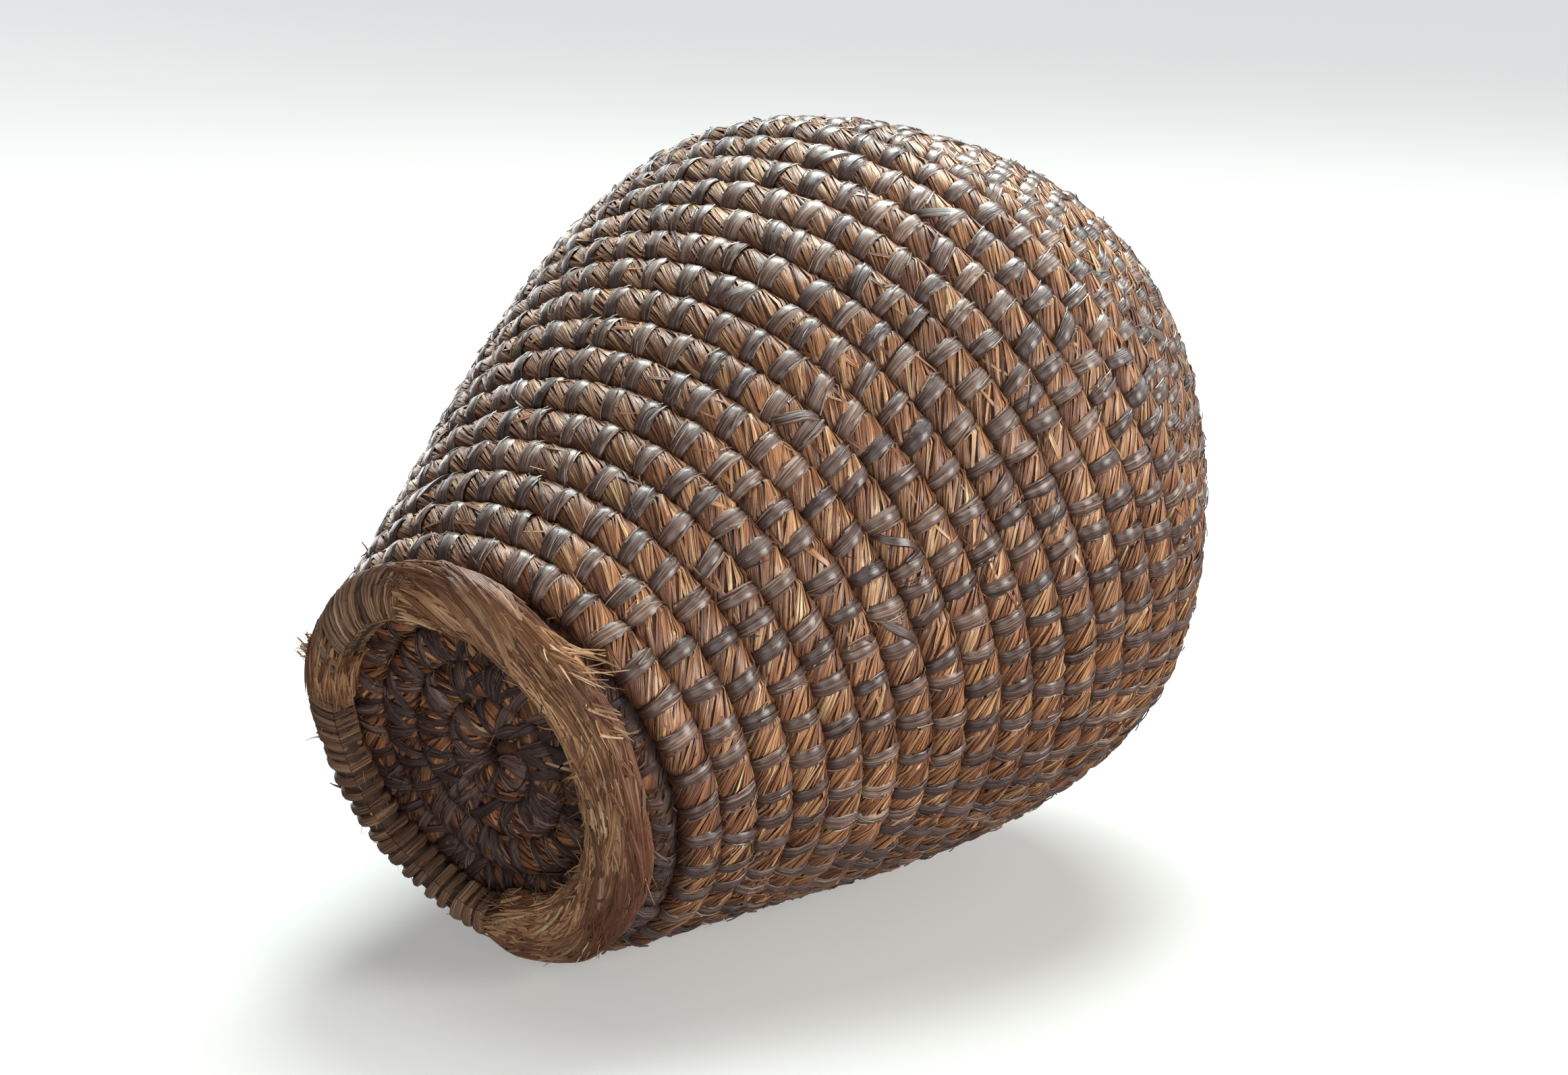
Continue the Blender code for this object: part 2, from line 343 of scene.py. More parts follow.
def fibre_material(name, ramp, dirt_and_shade, dirt_amount, rough, bump, streaks, stretch, streak_share=0.45,
                   tone_share=0.55, coat=0.0):
    """Dry plant stuff: a ramp of colours that streaks and the piece's own tone choose from, under grime
    in patches and painted shade in the grooves and creases, both in one dark colour, with pale dust specks."""
    material = bpy.data.materials.new(name)
    material.use_nodes = True
    tree = material.node_tree
    shader = tree.nodes["Principled BSDF"]
    fibre = node(tree, "ShaderNodeGroup")
    fibre.node_tree = plant_fibre
    fibre.inputs["Streaks"].default_value = streaks
    fibre.inputs["Stretch"].default_value = stretch
    cloud = node(tree, "ShaderNodeGroup")
    cloud.node_tree = grime
    even = (1 - tone_share - streak_share) / 2
    toned = maths(tree, "MULTIPLY_ADD", fibre.outputs["Tone"], tone_share, even)
    pick = maths(tree, "MULTIPLY_ADD", fibre.outputs["Fine"], streak_share, toned)
    colours = node(tree, "ShaderNodeValToRGB", Fac=pick)
    stops = colours.color_ramp.elements
    while len(stops) < len(ramp):
        stops.new(0.5)
    for stop, (where, colour) in zip(stops, ramp):
        stop.position = where
        stop.color = (*colour, 1.0)
    patch = node(tree, "ShaderNodeMapRange", From_Min=patch_low, From_Max=patch_high, To_Max=dirt_amount,
                 Value=cloud.outputs["Cloud"])
    # Painted shade: each point's mark darkens it in grooves, creases and along edges; the cloud patches added
    # to it are grime.
    deep = node(tree, "ShaderNodeMath", "MULTIPLY_ADD", i0=fibre.outputs["PaintedShade"], i1=shade_share,
                i2=patch.outputs["Result"])
    deep.use_clamp = True
    dirty_and_shaded = covered(tree, colours.outputs["Color"], (*dirt_and_shade, 1.0), deep.outputs[0])
    speck = node(tree, "ShaderNodeMapRange", From_Min=speck_low, From_Max=speck_high, To_Max=speck_share,
                 Value=cloud.outputs["Speck"])
    dusted = covered(tree, dirty_and_shaded, dust_colour, speck.outputs["Result"])
    tree.links.new(dusted, shader.inputs["Base Color"])
    roughness = node(tree, "ShaderNodeMapRange", To_Min=rough[0], To_Max=rough[1],
                     Value=fibre.outputs["Fine"])
    tree.links.new(roughness.outputs["Result"], shader.inputs["Roughness"])
    height = maths(tree, "MULTIPLY_ADD", fibre.outputs["Broad"], broad_share, fibre.outputs["Fine"])
    relief = node(tree, "ShaderNodeBump", Strength=bump, Distance=fibre_relief, Height=height)
    tree.links.new(relief.outputs["Normal"], shader.inputs["Normal"])
    shader.inputs["Coat Weight"].default_value = coat
    shader.inputs["Coat Roughness"].default_value = coat_roughness
    return material


# Straws: thin flattened stems with a ridged back, tucked under two stitches and bent over the
# swell between them. Their slant across the row comes from the twist of the bundle.
straw_slant = math.tan(math.radians(36))
slant_spread = 0.12
crossing_share = 0.07
bow_spread = 0.06
straw_height = 0.001
straw_swell = 0.0004
straw_end_depth = 0.0006
end_width_share, end_height_share = 0.8, 0.7
straw_cover = 0.97
stem_edge_angle = 75
section_radius = 0.0069
stitch_lean = math.tan(math.radians(4))


def unit_stem(sides, cuts, roll=0):
    """A stem two units long with its own axis along X, cut across by planes; its mesh as plain arrays."""
    bpy.ops.object.select_all(action="DESELECT")
    bpy.ops.mesh.primitive_cylinder_add(vertices=sides, radius=1, depth=2, end_fill_type="NGON")
    unit = bpy.context.active_object
    bpy.ops.object.mode_set(mode="EDIT")
    bpy.ops.transform.rotate(value=math.radians(90), orient_axis="Y", center_override=(0, 0, 0))
    bpy.ops.transform.rotate(value=math.radians(roll), orient_axis="X", center_override=(0, 0, 0))
    for place in cuts:
        bpy.ops.mesh.select_all(action="SELECT")
        bpy.ops.mesh.bisect(plane_co=(place, 0, 0), plane_no=(1, 0, 0))
    bpy.ops.mesh.select_all(action="SELECT")
    bpy.ops.mesh.normals_make_consistent(inside=False)
    bpy.ops.object.mode_set(mode="OBJECT")
    points = np.array([v.co for v in unit.data.vertices])
    faces = [list(p.vertices) for p in unit.data.polygons]
    mesh = unit.data
    bpy.data.objects.remove(unit)
    bpy.data.meshes.remove(mesh)
    return points, faces


draw = np.random.default_rng(11)
middle_tone, tone_spread = 0.46, 0.25
pale_share, dark_share = 0.1, 0.1
map_reach = 3


def stem_tones(shape):
    """Most stems are of a middle tone; some are pale, some dark."""
    tones = np.clip(middle_tone + draw.normal(0, tone_spread, shape), 0, 1)
    luck = draw.uniform(0, 1, shape)
    tones = np.where(luck < pale_share, draw.uniform(0.8, 1.0, shape), tones)
    return np.where(luck > 1 - dark_share, draw.uniform(0, 0.15, shape), tones)


def scattered_map(along, across):
    """The maps of all copies of a stem, each at a place of its own in the pattern of the fibres."""
    flat = np.stack(np.broadcast_arrays(along, across), axis=-1)
    return flat + draw.uniform(0, map_reach, (*flat.shape[:-2], 1, 2))


straw_points, straw_faces = unit_stem(sides=3, cuts=(-0.5, 0.5), roll=90)


def straw_piece(name, stitches, material, around_from, around_to, count, width):
    """Straws that show between each stitch and the next, slanting across the row and tucked under both."""
    middle = (stitches[1:] + stitches[:-1]) / 2
    middle_radius = coil_at(middle)[0]
    half = np.diff(stitches) * math.pi * middle_radius
    shape = (len(middle), count)
    places = around_from + (np.arange(count) + 0.5 + draw.uniform(-0.5, 0.5, shape)) * (
        (around_to - around_from) / count)
    slant = straw_slant * half[:, None] / section_radius * (
        draw.normal(1.0, slant_spread, (len(middle), 1)) + draw.normal(0, slant_spread, shape))
    crossing = draw.uniform(0, 1, shape) < crossing_share
    slant = np.where(crossing, slant * draw.uniform(-0.6, 2.2, shape), slant)
    bow = draw.normal(0, bow_spread, shape)
    widths = width * draw.uniform(0.5, 1.6, shape) / 2
    heights = draw.uniform(0.35, 0.65, shape) * straw_height
    swell = draw.normal(straw_swell, straw_swell / 2, shape) + draw.normal(0, 0.00015, (len(middle), 1))
    tone = np.clip(stem_tones(shape) + draw.normal(0, 0.08, (len(middle), 1)), 0, 1)
    shift = draw.uniform(-0.04, 0.04, shape)
    x, y, z = straw_points.T
    end = np.abs(x) > 0.9
    y = y * np.where(end, end_width_share, 1.0)
    z = z * np.where(end, end_height_share, 1.0)
    around = places[..., None] - x * slant[..., None] + y * (widths / section_radius)[..., None]
    around = around + np.where(end, 0, 1) * bow[..., None]
    lift = np.where(end, -straw_end_depth, swell[..., None]) + z * heights[..., None]
    across = row_half_width * np.sin(around)
    along = x * (half[:, None] * (straw_cover + shift))[..., None] - across * stitch_lean
    turns = middle[:, None, None] + along / (2 * math.pi * middle_radius[:, None, None])
    points = on_row(turns, around, lift)
    uv = scattered_map(x * half[:, None, None], y * widths[..., None])
    # Painted shade: the straws darken towards the grooves, at their ends tucked under the stitches and on
    # their undersides.
    grooves = np.abs(np.sin(around)) ** 5 * 0.9
    painted_shade = np.clip(grooves + np.where(end, 0.5, 0.0) + np.where(z < 0, 0.65, 0.0), 0, 1)
    return mesh_piece(name, points, straw_faces, material, uv, tone.ravel(), painted_shade, stem_edge_angle, tone.size)


# The stitches: split strips, flat and glossy on the back, each drawn tight round its row and
# through the one below. They pinch the bundle, and their edges fray into fine fibres.
stitch_spacing = 0.0132
stitch_width = 0.006
between_share = 0.6
most_owed = 0.6
short_step, long_step, least_step = 0.68, 1.25, 0.5
least_stitch_radius = 0.004
groove_width_share, crest_width_share = 0.7, 0.3
strap_from, strap_reach = -1.98, 0.99
strap_sink, strap_crown = 0.0004, 0.0008
edge_fibre_share = 0.7
fibre_lift, fibre_crown, fibre_thickness = 0.0003, 0.0006, 0.00022
loose_lift, loose_back, loose_foot = 0.0008, 0.0007, -0.0002
loose_dip, loose_wave = 0.0012, 0.0003
floor_clearance = 0.0002
strip_edge_angle = 50
strap_cuts = (-0.9, -0.76, -0.62, -0.46, -0.3, -0.14, 0.02, 0.18, 0.34, 0.6)
strap_points, strap_faces = unit_stem(sides=8, cuts=strap_cuts)
fringe_points, fringe_faces = unit_stem(sides=4, cuts=(-0.5, 0.0, 0.5))


def stitch_turns(start, end, spacing):
    """Where the stitches sit along the coil. Each goes between two of the row below, and where the
    round has grown or shrunk by one stitch, one is put in or left out."""
    places = []
    turns = start
    while turns < min(start + 1, end):
        places.append(turns)
        turns += spacing / (2 * math.pi * max(float(coil_at(turns)[0]), least_stitch_radius))
    below = 0
    owed = 0.0
    while places[-1] < end:
        step = spacing / (2 * math.pi * float(coil_at(places[-1])[0]))
        between = (places[below] + places[below + 1]) / 2 + 1
        due = places[-1] + step
        here = between_share * between + (1 - between_share) * due
        owed += (here - places[-1]) / step - 1
        if owed > most_owed:
            here = places[-1] + short_step * step
            owed -= 1
            below -= 1
        elif owed < -most_owed:
            owed += 1
            below += 1
            here = places[-1] + long_step * step
        here = max(here, places[-1] + least_step * step)
        places.append(here)
        below += 1
    return np.array(places)


def strap_shape(count, width, irregularity):
    """What each stitch has of its own: half width, lean, shift, thickness, twist, turn and tone."""
    return {
        "half": width * draw.uniform(0.78, 1.2, count) / 2,
        "lean": stitch_lean + draw.normal(0, 0.13 * irregularity, count),
        "shift": draw.normal(0, 0.0006 * irregularity, count),
        "thick": draw.uniform(0.0007, 0.0011, count),
        "twist": draw.normal(0, 0.00025 * irregularity, count),
        "turned": draw.normal(0, 0.05, count),
        "tone": stem_tones(count),
    }


def strap_place(stitches, shape, around, y, lift):
    """Points of the stitches' strips, which narrow into the grooves; y runs from edge to edge."""
    crest = np.clip(np.cos(around), 0, 1) ** 0.5
    across = row_half_width * np.sin(around)
    along = y * shape["half"][:, None] * (groove_width_share + crest_width_share * crest)
    along = along - across * shape["lean"][:, None] + shape["shift"][:, None]
    radius = coil_at(stitches)[0]
    return on_row(stitches[:, None] + along / (2 * math.pi * radius[:, None]), around, lift)


def strap_piece(name, stitches, material, width, irregularity):
    """The strips themselves, once round the row, with their ends tucked into the lower groove."""
    count = len(stitches)
    shape = strap_shape(count, width, irregularity)
    x, y, z = strap_points.T
    ridge = draw.uniform(-0.0002, 0.0002, (count, 3))
    side = np.round(y * 1.2).astype(int) + 1
    around = strap_from + (x + 1) * math.pi * strap_reach + shape["turned"][:, None]
    crest = np.clip(np.cos(around), 0, 1)
    top = np.where(z > 0.1, 0.15 + z, np.where(z < -0.1, -0.3, 0.15))
    thick = shape["thick"][:, None] + np.where(z > 0.1, ridge[:, side], 0)
    lift = -strap_sink + strap_crown * crest + top * thick + shape["twist"][:, None] * y
    points = strap_place(stitches, shape, around, y, lift)
    uv = scattered_map((x + 1) * 0.022, y * shape["half"][:, None])
    # Painted shade: the strips darken where they dip into the grooves and along their edges.
    painted_shade = np.clip(np.abs(np.sin(around)) ** 6 * 0.8 + np.where(np.abs(y) > 0.9, 0.25, 0.0), 0, 1)
    piece = mesh_piece(name, points, strap_faces, material, uv, shape["tone"], painted_shade, strip_edge_angle, count)
    return piece, shape


def fringe_piece(name, stitches, shape, material, each):
    """Fine fibres along the edges and over the backs of the strips."""
    count = len(stitches) * each
    rows = np.repeat(stitches, each)
    mine = {key: np.repeat(value, each) for key, value in shape.items()}
    x, y, z = fringe_points.T
    middle = draw.uniform(-0.9, 0.9, count)
    reach = draw.uniform(0.35, 0.8, count)
    at_edge = draw.uniform(0, 1, count) < edge_fibre_share
    place = np.where(at_edge, np.sign(draw.normal(0, 1, count)), draw.uniform(-0.7, 0.7, count))
    place = place * draw.uniform(0.85, 1.05, count)
    astray = draw.normal(0, 0.22, count)
    width = draw.uniform(0.00016, 0.0004, count)
    around = middle[:, None] + x * reach[:, None]
    crest = np.clip(np.cos(around), 0, 1)
    edge = place[:, None] + x * astray[:, None] + y * (width / mine["half"])[:, None]
    over = np.where(np.abs(place) < 0.75, 0.0006, 0.0001)[:, None]
    ends = np.abs(x) * draw.uniform(-0.0002, 0.0007, (count, 1))
    lift = fibre_lift + fibre_crown * crest + over + z * fibre_thickness + ends
    points = strap_place(rows, mine, around, edge, lift)
    uv = scattered_map(x * 0.006, y * width[:, None])
    tone = np.clip(mine["tone"] + draw.normal(0.1, 0.2, count), 0, 1)
    return mesh_piece(name, points, fringe_faces, material, uv, tone, 0.0, stem_edge_angle, count)


def wander_piece(name, stitches, material, share):
    """Here and there a strip's end or a join lies across the straw to the next stitch."""
    chosen = stitches[:-1][draw.uniform(0, 1, len(stitches) - 1) < share]
    count = len(chosen)
    radius = coil_at(chosen)[0]
    x, y, z = strap_points.T
    half = draw.uniform(0.0014, 0.0024, count)
    sweep = draw.uniform(0.7, 1.3, count) * np.sign(draw.normal(-0.4, 1, count))
    reach = draw.uniform(0.006, 0.0095, count)
    wave = draw.uniform(0, 6.28, count)
    around = x * sweep[:, None] + y * (half / section_radius)[:, None] * 0.7 + draw.normal(0, 0.2, (count, 1))
    along = reach[:, None] * (1 + x * 0.95) - y * half[:, None] * 0.6
    lift = loose_lift + np.where(z > 0.1, loose_back, loose_foot) - np.abs(x) ** 3 * loose_dip
    lift = lift + loose_wave * np.sin(x * 3 + wave[:, None])
    points = on_row(chosen[:, None] + along / (2 * math.pi * radius[:, None]), around, lift)
    uv = scattered_map(x * reach[:, None], y * half[:, None])
    tone = draw.uniform(0, 0.6, count)
    return mesh_piece(name, points, strap_faces, material, uv, tone, 0.1, strip_edge_angle, count)


def frayed_piece(name, roots, ways, lengths, widths, bends, material, tone=None):
    """Loose stems that leave the basket: each from its root, along its way, bending as it goes."""
    count = len(roots)
    x, y, z = fringe_points.T
    share = (x + 1) / 2
    ways = ways / np.linalg.norm(ways, axis=1)[:, None]
    side = np.cross(ways, draw.normal(0, 1, (count, 3)))
    side /= np.linalg.norm(side, axis=1)[:, None]
    over = np.cross(ways, side)
    run = ways[:, None] * share[None, :, None] + bends[:, None] * (share ** 2)[None, :, None]
    thin = (1 - 0.55 * share) * widths[:, None]
    points = roots[:, None] + run * lengths[:, None, None]
    points = points + side[:, None] * (y * thin)[..., None] + over[:, None] * (z * thin * 0.4)[..., None]
    points[..., 2] = np.maximum(points[..., 2], floor_clearance)
    uv = scattered_map(share * lengths[:, None], y * widths[:, None])
    if tone is None:
        tone = stem_tones(count)
    return mesh_piece(name, points, fringe_faces, material, uv, tone, 0.0, stem_edge_angle, count)


def groove_strays(name, start, end, count, material):
    """Broken straw ends that stick out of the grooves and from under the stitches."""
    turns = draw.uniform(start, end, count)
    around = draw.choice([-1.2, 1.2], count) + draw.normal(0, 0.35, count)
    roots = on_row(turns, around, np.full(count, 0.0002))
    beyond = turns + 0.004 * draw.choice([-1, 1], count)
    along = on_row(beyond, around + draw.normal(0, 0.35, count), np.full(count, 0.0014))
    bends = (on_row(turns, around, np.full(count, 0.004)) - roots) * draw.uniform(-40, 60, (count, 1))
    return frayed_piece(name, roots, along - roots, draw.uniform(0.0025, 0.0075, count),
                        draw.uniform(0.00018, 0.0005, count), bends, material)


def dress_run(name, span, cells, stitches, straw, arcs, strip, width, irregularity, fibres, loose, broken):
    """One part of the coil: its bundle, the straws that show on it, its sewing and its broken ends."""
    slot = f"{name}_straw"
    dressed(core_piece(f"{name}_bundle", *span, dark_core), slot, f"{name}_coil")
    for side_name, *arc_count_width in arcs:
        dressed(straw_piece(f"{name}_straws{side_name}", cells, straw, *arc_count_width), slot)
    straps, shape = strap_piece(f"{name}_sewing", stitches, strip, width, irregularity)
    dressed(straps, slot)
    dressed(fringe_piece(f"{name}_sewing_fibres", stitches, shape, strip, fibres), slot)
    dressed(wander_piece(f"{name}_loose_strips", stitches, strip, loose), slot)
    dressed(groove_strays(f"{name}_broken_straws", *broken, straw), slot)


# The base is the coil's first turns, laid flat. It is dark with dirt and tightly sewn, and little
# of its straw still shows between the stitches.
base_stitch_spacing = 0.0074
base_strip_width = 0.0046
base_irregularity = 2.6
outer_half = 1.9
inner_from, inner_to = 2.0, 4.3
# The bundle's inside is coloured as straw in shade: painted shade for the gaps between the stems.
dark_core = fibre_material(
    "bundle_inside", ((0.2, (0.08, 0.03, 0.014)), (0.8, (0.3, 0.125, 0.055))),
    dirt_and_shade=(0.03, 0.014, 0.009), dirt_amount=0.3, rough=(0.7, 0.9), bump=0.8, streaks=1700,
    stretch=0.06, streak_share=0.9, tone_share=0.1)
base_straw = fibre_material(
    "base_straw_dirty",
    ((0.0, (0.08, 0.028, 0.013)), (0.4, (0.28, 0.1, 0.038)), (0.7, (0.58, 0.24, 0.09)),
     (1.0, (0.75, 0.45, 0.22))),
    dirt_and_shade=(0.05, 0.024, 0.018), dirt_amount=0.8, rough=(0.5, 0.8), bump=0.7, streaks=2200,
    stretch=0.05, streak_share=0.4, tone_share=0.75)
base_strip = fibre_material(
    "base_strip_dirty",
    ((0.0, (0.02, 0.01, 0.0085)), (0.4, (0.065, 0.034, 0.028)), (0.7, (0.13, 0.072, 0.058)),
     (1.0, (0.3, 0.19, 0.145))),
    dirt_and_shade=(0.035, 0.018, 0.016), dirt_amount=0.6, rough=(0.4, 0.7), bump=1.0, streaks=1200,
    stretch=0.03, streak_share=0.75, tone_share=0.6)
base_stitches = stitch_turns(base_start_turn + 0.3, -0.02, base_stitch_spacing)
dress_run(
    "base", (base_start_turn, 0.0), base_stitches, base_stitches, base_straw,
    (("", -outer_half, outer_half, 20, 0.0017), ("_inside", inner_from, inner_to, 7, 0.0024)),
    base_strip, base_strip_width, base_irregularity, fibres=4, loose=0.8,
    broken=(base_start_turn + 0.4, -0.1, 90))

# The wall is the same bundle, cleaner and brighter. It is made here in the four runs of the CAD
# model, and every run has its bundle, the straws that show on it, and its sewing.
wall_straw = fibre_material(
    "wall_straw",
    ((0.0, (0.06, 0.02, 0.01)), (0.3, (0.21, 0.077, 0.031)), (0.55, (0.38, 0.16, 0.066)),
     (0.8, (0.55, 0.28, 0.122)), (1.0, (0.8, 0.6, 0.34))),
    dirt_and_shade=(0.09, 0.034, 0.018), dirt_amount=0.4, rough=(0.3, 0.52), bump=1.0, streaks=1800,
    stretch=0.05, streak_share=0.5, tone_share=0.75, coat=0.3)
sewing_strip = fibre_material(
    "sewing_strip",
    ((0.0, (0.016, 0.007, 0.0055)), (0.3, (0.055, 0.027, 0.021)), (0.6, (0.122, 0.063, 0.043)),
     (0.85, (0.215, 0.125, 0.086)), (1.0, (0.36, 0.25, 0.18))),
    dirt_and_shade=(0.045, 0.019, 0.013), dirt_amount=0.45, rough=(0.26, 0.46), bump=1.0, streaks=1700,
    stretch=0.02, streak_share=0.9, tone_share=0.5, coat=0.65)
broken_per_turn = 40
run_shares = (0.34, 0.66, 0.93)
wall_stitches = stitch_turns(0.0, wall_turns - 0.02, stitch_spacing)
run_ends = [0.0] + [round(share * wall_turns) for share in run_shares] + [wall_turns]
run_names = ("lower_wall", "belly_wall", "shoulder_wall", "rim")
wall_arcs = (
    # side, from and to round the bundle, count, width
    ("_lower", -outer_half, 0.0, 19, 0.00105),
    ("_upper", 0.0, outer_half, 19, 0.00105),
    ("_inside", inner_from, inner_to, 7, 0.0025),
)
for run_name, run_start, run_end in zip(run_names, run_ends, run_ends[1:]):
    inside = (wall_stitches >= run_start) & (wall_stitches < run_end)
    first = int(np.argmax(inside))
    last = first + int(inside.sum())
    broken_count = int(broken_per_turn * (run_end - run_start))
    dress_run(
        run_name, (run_start, run_end), wall_stitches[first:last + 1], wall_stitches[first:last],
        wall_straw, wall_arcs, sewing_strip, stitch_width, irregularity=1.0, fibres=3, loose=0.05,
        broken=(run_start + 0.1, run_end - 0.6, broken_count))

# The foot is a thicker bundle bent to a ring and sewn under the edge of the base. Part of it is
# still bound with strip; the rest has lost its binding and frays.
ring_mean_radius = 0.064
ring_offset = 0.0052
ring_stretch = 0.0022
ring_offset_angle = math.radians(205)
ring_half_height = 0.0075
ring_bare_half_width = 0.012
ring_fine_half_width = 0.0071
ring_broad_half_width = 0.011
ring_roundness = 0.9
ring_wear = 0.0019
ring_section_radius = 0.009
ring_bend_radius = 0.066
ring_side_bed, ring_top_bed, ring_foot_bed = 0.001, 0.0006, 0.002
binding_blend = math.radians(8)
fine_from, fine_to = math.radians(46), math.radians(151)
broad_from, broad_to = math.radians(158.5), math.radians(210.5)


def ring_middle(angle):
    """How far the bundle's middle lies from the basket's axis: off centre, and longer one way."""
    turned = angle - ring_offset_angle
    return ring_mean_radius + ring_offset * np.cos(turned) + ring_stretch * np.cos(2 * turned)


def on_ring(angle, around, lift):
    """A point on the foot ring: around is 0 on its outer side and a quarter turn on its top. Its foot
    is worn flat, so nothing there stands out past the floor."""
    middle = (fine_from + broad_to) / 2
    past = np.abs((angle - middle + math.pi) % (2 * math.pi) - math.pi) - (broad_to - fine_from) / 2
    bound = smooth(1 - past / binding_blend)
    fine_middle = (fine_from + fine_to) / 2
    grown = np.clip((np.mod(angle, 2 * math.pi) - fine_middle) / (broad_to - fine_middle), 0, 1)
    tight = ring_fine_half_width + (ring_broad_half_width - ring_fine_half_width) * grown
    half_width = ring_bare_half_width + (tight - ring_bare_half_width) * bound
    wobble = 0.0005 * np.sin(3 * angle + 1.1) + 0.0004 * np.sin(8 * angle)
    cosine = np.cos(around)
    sine = np.sin(around)
    out = (half_width - ring_side_bed + lift) * np.sign(cosine) * np.abs(cosine) ** ring_roundness
    worn = ring_half_height - ring_foot_bed + ring_wear * np.tanh(lift / ring_wear)
    up = np.where(sine < 0, -worn, ring_half_height - ring_top_bed + lift) * np.abs(sine) ** ring_roundness
    radius = ring_middle(angle) + wobble + out
    height = ring_half_height + up + 0 * radius
    return np.stack([radius * np.cos(angle), radius * np.sin(angle), height], axis=-1)


ring_straw = fibre_material(
    "ring_straw",
    ((0.0, (0.07, 0.027, 0.013)), (0.22, (0.29, 0.12, 0.05)), (0.5, (0.66, 0.345, 0.155)),
     (0.75, (0.82, 0.51, 0.265)), (1.0, (0.9, 0.7, 0.45))),
    dirt_and_shade=(0.17, 0.068, 0.035), dirt_amount=0.7, rough=(0.4, 0.65), bump=1.0, streaks=2200,
    stretch=0.04, streak_share=0.55, tone_share=0.85)
# The ring's core is coloured as straw in shade: painted shade for the dark gaps between the binding's turns
# and under the loose straws.
ring_under = fibre_material(
    "ring_under_binding",
    ((0.0, (0.03, 0.017, 0.014)), (0.6, (0.1, 0.055, 0.034)), (1.0, (0.24, 0.14, 0.08))),
    dirt_and_shade=(0.03, 0.017, 0.014), dirt_amount=0.5, rough=(0.6, 0.85), bump=0.5, streaks=1800,
    stretch=0.05)
ring_steps, ring_sides = 120, 14
ring_core_depth = 0.0006
ring_map_radius = 0.01
ring_turn, ring_around = np.meshgrid(
    np.arange(ring_steps) / ring_steps * 2 * math.pi,
    np.arange(ring_sides) / ring_sides * 2 * math.pi, indexing="ij")
ring_points = on_ring(ring_turn, ring_around, -ring_core_depth)
ring_faces = []
for step in range(ring_steps):
    for side in range(ring_sides):
        beyond = (step + 1) % ring_steps
        ring_faces.append((
            step * ring_sides + side, beyond * ring_sides + side,
            beyond * ring_sides + (side + 1) % ring_sides, step * ring_sides + (side + 1) % ring_sides))
ring_uv = np.stack([ring_turn * ring_mean_radius, ring_around * ring_map_radius], axis=-1)
ring_core = mesh_piece("foot_ring_core", ring_points, ring_faces, ring_under, ring_uv, tone=0.3, painted_shade=0.1)
dressed(ring_core, "ring_straw", "foot_ring_bundle")

long_points, long_faces = unit_stem(sides=4, cuts=(-0.75, -0.5, -0.25, 0.0, 0.25, 0.5, 0.75))
twist_angles = np.radians((212, 238, 250, 320, 345, 404))
twists = (-30, -22, -6, -4, 12, 12)
full_curl_half = 0.016
ring_edge_angle = 30


def ring_straws(name, count, angles, material, width, level, twist_mean, stray, half_range, pointed, paler):
    """Straws of the bare stretch, lying along the ring with a little twist, their ends lifting."""
    x, y, z = long_points.T
    half = draw.uniform(*half_range, count)
    middle = draw.uniform(angles[0] + half / ring_bend_radius, angles[1] - half / ring_bend_radius)
    place = draw.uniform(0, 2 * math.pi, count)
    twist = draw.normal(twist_mean, stray, count) + np.interp(middle, twist_angles, twists)
    widths = width * draw.uniform(0.5, 1.5, count)
    heights = draw.uniform(0.0004, 0.0009, count)
    levels = draw.normal(level, 0.0006, count)
    curl = draw.uniform(-0.0006, 0.0012, (count, 2)) * np.minimum(half / full_curl_half, 1)[:, None]
    taper = 1 - pointed * np.abs(x) ** 4
    angle = middle[:, None] + x * half[:, None] / ring_mean_radius
    around = place[:, None] + x * (half * twist)[:, None] + y * widths[:, None] / ring_section_radius * taper
    ends = np.where(x > 0, curl[:, :1], curl[:, 1:]) * np.abs(x) ** 4
    lift = levels[:, None] + np.where(z < -0.5, -0.4, z) * heights[:, None] * taper + ends
    points = on_ring(angle, around, lift)
    uv = scattered_map(x * half[:, None], y * widths[:, None])
    tone = np.clip(stem_tones(count) + paler, 0, 1)
    # Painted shade: the straws darken on the ring's top, where it meets the base, and along each stem's
    # edges; they are also darker on the ring's outer side.
    painted_shade = np.clip(np.sin(around) * 0.8, 0, 0.7) + np.clip(np.cos(around), 0, 1) * 0.7
    painted_shade = painted_shade + np.where(np.abs(y) > 0.5, 0.42, 0)
    return mesh_piece(name, points, long_faces, material, uv, tone, painted_shade, ring_edge_angle, count)


bare_arc = (math.radians(204), math.radians(408))
leaf_arc = (math.radians(206), math.radians(256))
between_arc = (math.radians(143), math.radians(171))
for kind, count, arc, *form in (
    # half width, level, twist, its spread, half length, how pointed, how much paler
    ("straws_under", 1100, bare_arc, 0.0007, -0.0002, 0, 11, (0.014, 0.038), 0.6, 0.0),
    ("straws", 1100, bare_arc, 0.0005, 0.0004, 0, 11, (0.006, 0.02), 0.6, 0.0),
    ("blades", 300, bare_arc, 0.0012, 0.0004, 0, 11, (0.005, 0.016), 0.4, 0.0),
    ("leaves", 36, leaf_arc, 0.0022, 0.0014, -22, 11, (0.009, 0.017), 0.85, 0.0),
    ("chips", 700, bare_arc, 0.0006, 0.0008, 0, 28, (0.0015, 0.005), 0.3, -0.05),
    ("straws_between", 420, between_arc, 0.0006, 0.0002, 45, 11, (0.005, 0.009), 0.6, 0.0),
):
    dressed(ring_straws(f"foot_ring_{kind}", count, arc, ring_straw, *form), "ring_straw")


